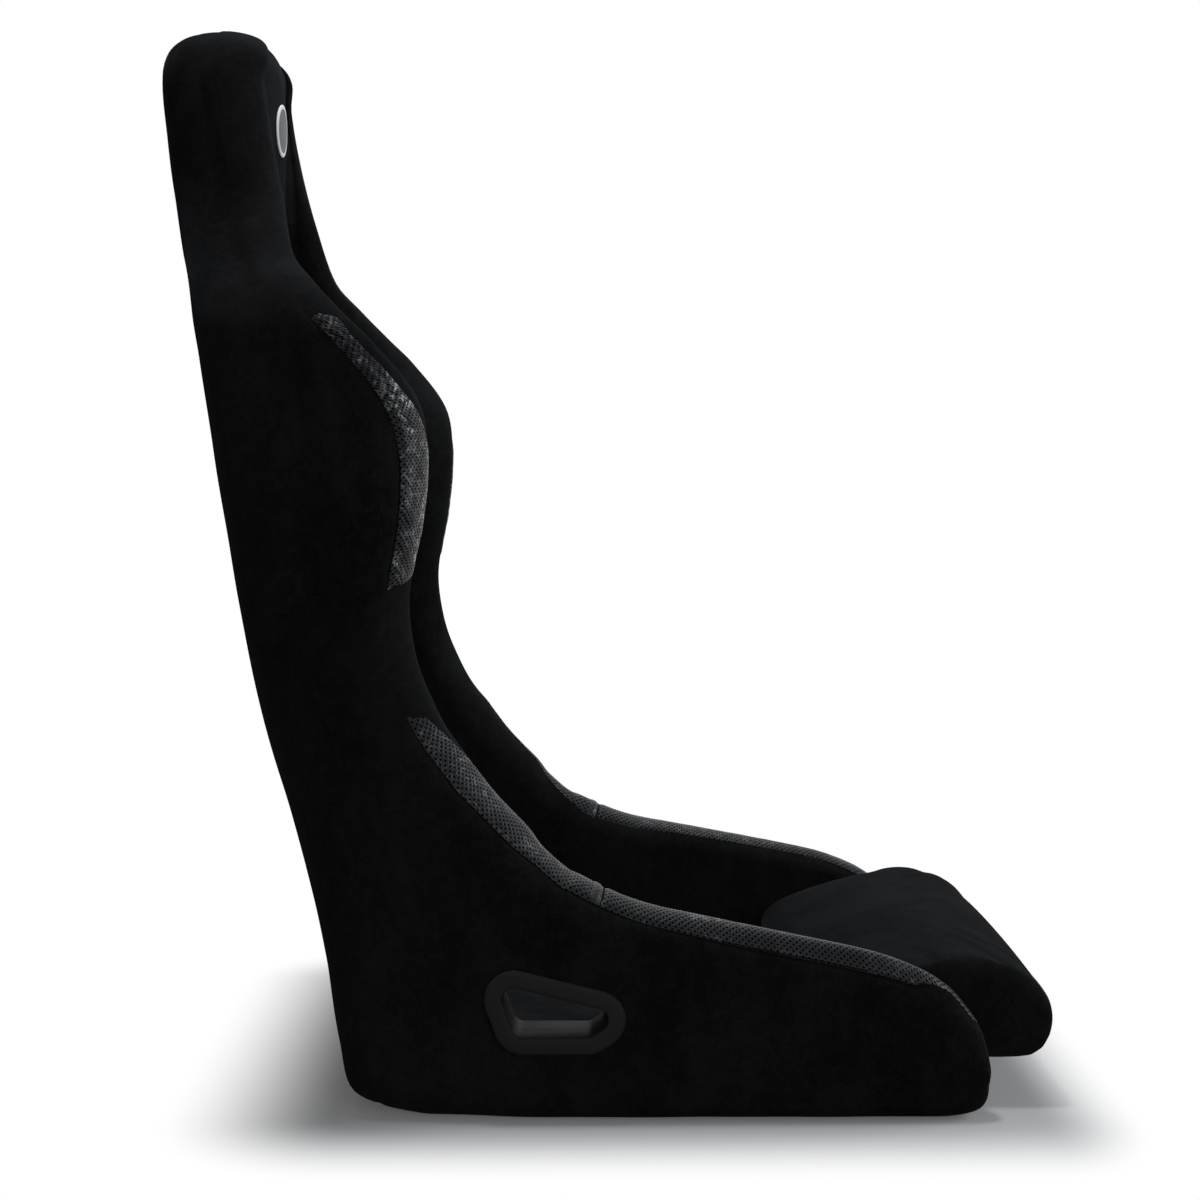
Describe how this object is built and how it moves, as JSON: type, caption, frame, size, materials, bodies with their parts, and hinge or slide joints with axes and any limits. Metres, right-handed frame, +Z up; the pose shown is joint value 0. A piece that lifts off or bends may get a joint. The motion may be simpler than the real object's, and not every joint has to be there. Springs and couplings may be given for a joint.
{
  "type": "racing seat",
  "caption": "Fixed-back racing seat with wrapped side bolsters, shoulder wings, loose cushions and harness slots, on a flat base with threaded inserts.",
  "frame": {"origin": "on the base plane, in the middle of the four base inserts", "axes": "+Z up; -Y towards the front, the way the occupant faces; +X towards the occupant's left; X = 0 is the plane of symmetry"},
  "size_m": [0.5506, 0.783, 0.947],
  "materials": {
    "suede": "short-pile black suede fabric",
    "perforated_leather": "perforated black leather, satin",
    "laminate": "glass-fibre laminate, black gel coat",
    "bezel_plastic": "satin black moulding",
    "plate_steel": "zinc-plated",
    "insert_steel": "zinc-plated",
    "hook_and_loop": "black hook and loop",
    "badge_plastic": "black oval with a pale rim"
  },
  "bodies": {
    "root": {"shell": "laminate", "back_cover": "suede", "side_cover_left": "suede", "side_cover_right": "suede", "headrest_cap": "suede", "headrest_pad": "suede", "harness_panel": "suede", "back_cushion": "suede", "lumbar_cushion": "suede", "seat_cushion": "suede", "thigh_cushion": "suede", "shoulder_bolster_left": "suede", "shoulder_bolster_right": "suede", "hip_bolster_left": "suede", "hip_bolster_right": "suede", "shoulder_trim_left": "perforated_leather", "shoulder_trim_right": "perforated_leather", "hip_trim_rear_left": "perforated_leather", "hip_trim_rear_right": "perforated_leather", "hip_trim_front_left": "perforated_leather", "hip_trim_front_right": "perforated_leather", "lap_bezel_outer_left": "bezel_plastic", "lap_bezel_outer_right": "bezel_plastic", "lap_bezel_inner_left": "bezel_plastic", "lap_bezel_inner_right": "bezel_plastic", "shoulder_bezel_rear_left": "bezel_plastic", "shoulder_bezel_rear_right": "bezel_plastic", "shoulder_bezel_front_left": "bezel_plastic", "shoulder_bezel_front_right": "bezel_plastic", "strap_slot_bezel": "bezel_plastic", "mount_plate_left": "plate_steel", "mount_plate_right": "plate_steel", "mount_inserts": "insert_steel", "hook_loop_strips": "hook_and_loop", "head_badge": "badge_plastic"}
  },
  "joints": []
}
